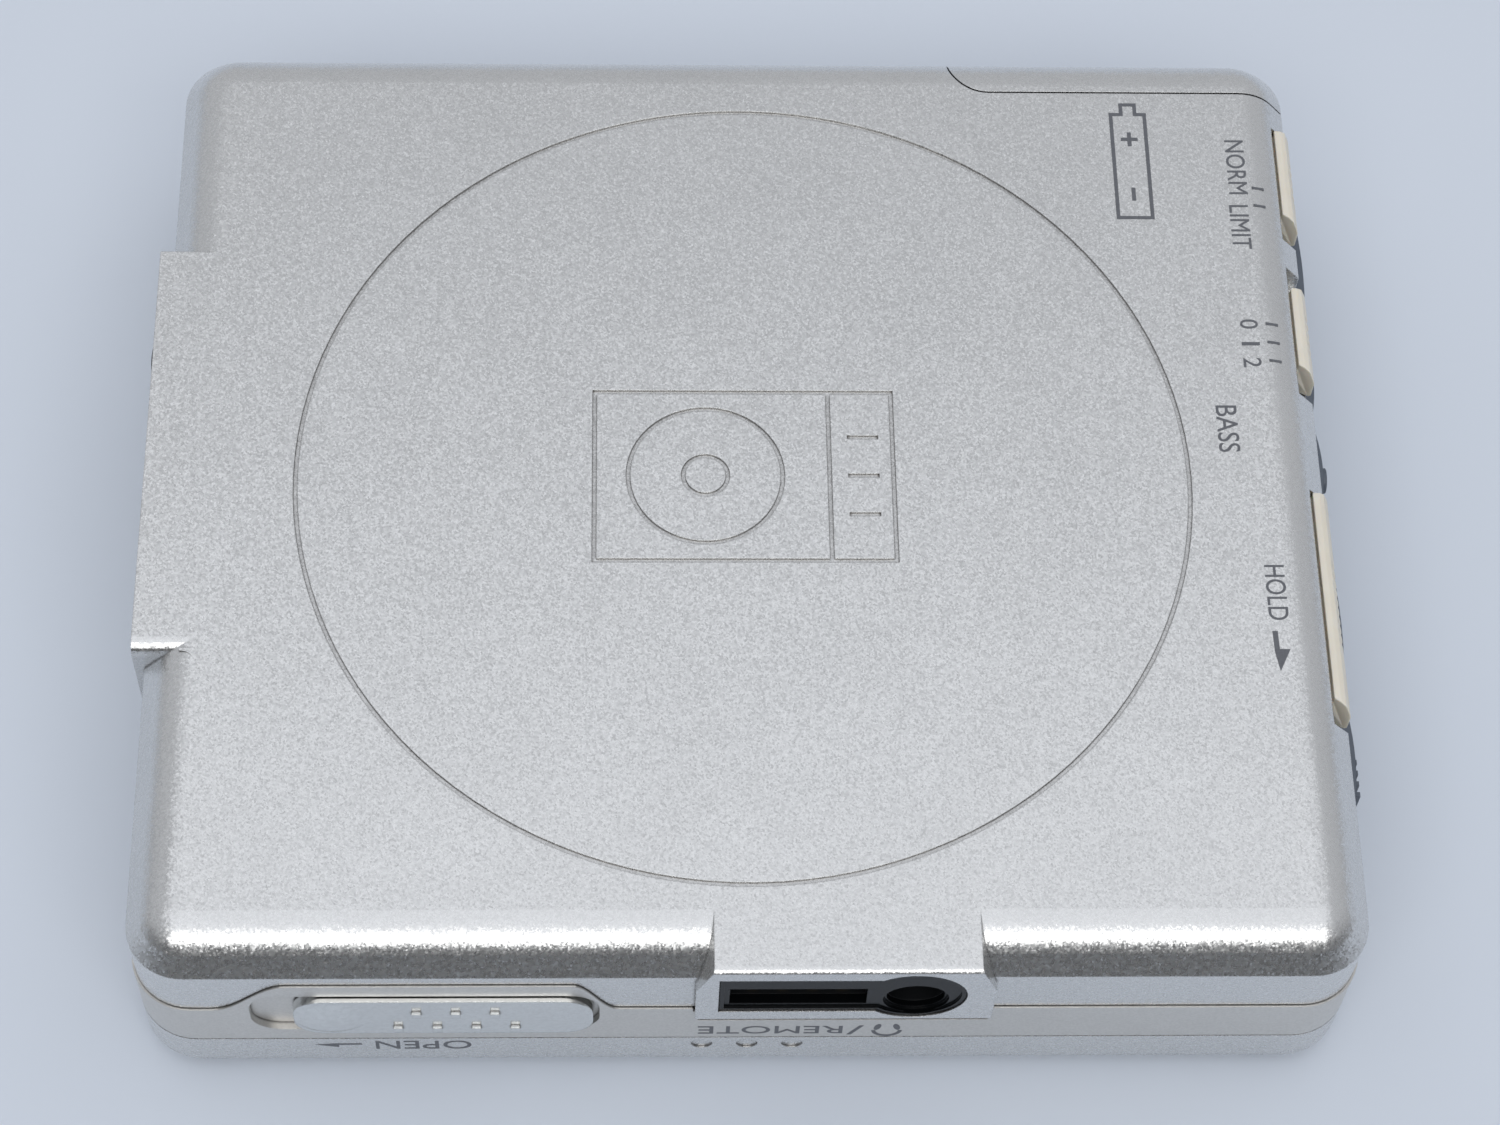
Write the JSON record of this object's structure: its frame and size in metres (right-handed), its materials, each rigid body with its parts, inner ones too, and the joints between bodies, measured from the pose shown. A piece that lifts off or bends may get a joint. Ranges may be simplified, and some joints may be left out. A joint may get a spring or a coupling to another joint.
{
  "type": "portable minidisc player",
  "caption": "Pocket minidisc player lying on its lid, with a rear hinge, an opening slider, slide switches, side buttons, a battery door and a headphone socket.",
  "frame": {"origin": "on the lid's flat outer face, which the player lies on, under the centre of the ring on the base cover", "axes": "+X towards the side with the slide switches and buttons, +Y towards the hinge, +Z from the lid's face up to the base cover"},
  "size_m": [0.0818, 0.0725, 0.0172],
  "materials": {
    "shell_paint": "satin silver paint with fine metal flake",
    "frame_paint": "silver paint on moulded plastic",
    "bright_trim": "polished silver paint",
    "bright_steel": "pressed steel sheet",
    "pin_steel": "ground steel",
    "dark_screw": "blackened steel",
    "black_gloss": "glossy black plastic",
    "black_matte": "matt black plastic",
    "ivory_plastic": "aged ivory plastic",
    "slate_plastic": "slate grey plastic",
    "brown_plastic": "brown moulded plastic",
    "white_plastic": "white acetal",
    "gold_contact": "gold plating",
    "circuit_board": "green solder mask",
    "cable_film": "amber film cable",
    "soft_rubber": "black rubber",
    "cell_sleeve": "sleeved steel can",
    "cast_sled": "die-cast alloy",
    "lens_glass": "coated lens"
  },
  "bodies": {
    "lid": {"lid_cover": "shell_paint", "lid_liner": "black_matte", "lid_screws": "dark_screw", "hinge_brackets": "bright_steel", "hinge_pins": "pin_steel", "catch_hooks": "bright_steel"},
    "disc_holder": {"disc_holder": "bright_steel", "holder_springs": "bright_steel"},
    "player": {"base_cover": "shell_paint", "middle_frame": "frame_paint", "deck_plate": "bright_steel", "deck_dampers": "soft_rubber", "deck_screws": "dark_screw", "main_board": "circuit_board", "board_chips": "black_matte", "board_screws": "dark_screw", "battery_cell": "cell_sleeve", "battery_tray": "black_matte", "battery_contact": "gold_contact", "headphone_jack": "black_matte", "jack_bezel": "black_gloss", "remote_contacts": "gold_contact", "terminal_plug": "soft_rubber", "switch_board": "circuit_board", "slide_switches": "brown_plastic", "click_switches": "black_matte", "ribbon_cable": "cable_film", "guide_rods": "pin_steel", "rod_clamps": "black_matte", "spindle_motor": "bright_steel", "sled_motor": "bright_steel", "screw_bearings": "white_plastic", "door_pins": "pin_steel"},
    "battery_door": {"battery_door": "shell_paint", "door_contact": "gold_contact"},
    "open_slider": {"open_knob": "bright_trim", "latch_bar": "bright_steel"},
    "limiter_switch": {"limiter_knob": "ivory_plastic"},
    "bass_switch": {"bass_knob": "ivory_plastic"},
    "hold_switch": {"hold_knob": "ivory_plastic"},
    "volume_key": {"volume_rocker": "slate_plastic"},
    "mode_key": {"mode_button": "slate_plastic"},
    "play_key": {"play_button": "slate_plastic"},
    "skip_key": {"skip_rocker": "slate_plastic"},
    "stop_key": {"stop_button": "slate_plastic"},
    "spindle": {"turntable": "white_plastic", "hub_magnet": "dark_screw", "spindle_shaft": "pin_steel"},
    "pickup": {"pickup_sled": "cast_sled", "lens_holder": "black_matte", "objective_lens": "lens_glass"},
    "feed_screw": {"lead_screw": "pin_steel", "screw_gear": "white_plastic"},
    "feed_pinion": {"motor_pinion": "gold_contact"}
  },
  "joints": [
    {"name": "lid_hinge", "type": "hinge", "parent": "lid", "child": "player", "pos_m": [0, 0.0344, 0.0052], "axis": [-1, 0, 0], "range_deg": [0, 40]},
    {"name": "holder_lift", "type": "hinge", "parent": "lid", "child": "disc_holder", "pos_m": [0, 0.0344, 0.0052], "axis": [-1, 0, 0], "range_deg": [0, 20]},
    {"name": "battery_door_hinge", "type": "hinge", "parent": "player", "child": "battery_door", "pos_m": [0, 0.0354, 0.01037], "axis": [-1, 0, 0], "range_deg": [0, 90]},
    {"name": "open_slide", "type": "slide", "parent": "player", "child": "open_slider", "axis": [-1, 0, 0], "range_m": [0, 0.0025], "stiffness_N_per_m": 200},
    {"name": "limiter_slide", "type": "slide", "parent": "player", "child": "limiter_switch", "axis": [0, -1, 0], "range_m": [0, 0.0013]},
    {"name": "bass_slide", "type": "slide", "parent": "player", "child": "bass_switch", "axis": [0, -1, 0], "range_m": [-0.0015, 0.0015]},
    {"name": "hold_slide", "type": "slide", "parent": "player", "child": "hold_switch", "axis": [0, -1, 0], "range_m": [0, 0.001]},
    {"name": "volume_rock", "type": "hinge", "parent": "player", "child": "volume_key", "pos_m": [0.03895, 0.022, 0.00815], "axis": [0, 0, 1], "range_deg": [-2, 2], "stiffness_Nm_per_rad": 0.02},
    {"name": "mode_press", "type": "slide", "parent": "player", "child": "mode_key", "axis": [-1, 0, 0], "range_m": [0, 0.0004], "stiffness_N_per_m": 500},
    {"name": "play_press", "type": "slide", "parent": "player", "child": "play_key", "axis": [-1, 0, 0], "range_m": [0, 0.0004], "stiffness_N_per_m": 500},
    {"name": "skip_rock", "type": "hinge", "parent": "player", "child": "skip_key", "pos_m": [0.03895, -0.0071, 0.00815], "axis": [0, 0, 1], "range_deg": [-2, 2], "stiffness_Nm_per_rad": 0.02},
    {"name": "stop_press", "type": "slide", "parent": "player", "child": "stop_key", "axis": [-1, 0, 0], "range_m": [0, 0.0004], "stiffness_N_per_m": 500},
    {"name": "disc_spin", "type": "hinge", "parent": "player", "child": "spindle", "pos_m": [0, 0, 0.007], "axis": [0, 0, 1], "continuous": true},
    {"name": "sled_slide", "type": "slide", "parent": "player", "child": "pickup", "axis": [-1, 0, 0], "range_m": [0, 0.014]},
    {"name": "screw_turn", "type": "hinge", "parent": "player", "child": "feed_screw", "pos_m": [-0.02, -0.011, 0.0112], "axis": [1, 0, 0], "range_deg": [-5, 2020]},
    {"name": "pinion_turn", "type": "hinge", "parent": "player", "child": "feed_pinion", "pos_m": [-0.008, -0.01505, 0.0112], "axis": [1, 0, 0], "range_deg": [-4040, 10]}
  ],
  "couplings": [
    {"joint": "holder_lift", "follows": "lid_hinge", "ratio": 0.5},
    {"joint": "screw_turn", "follows": "sled_slide", "rad_per_m": 2513.3},
    {"joint": "pinion_turn", "follows": "sled_slide", "rad_per_m": -5026.5}
  ]
}
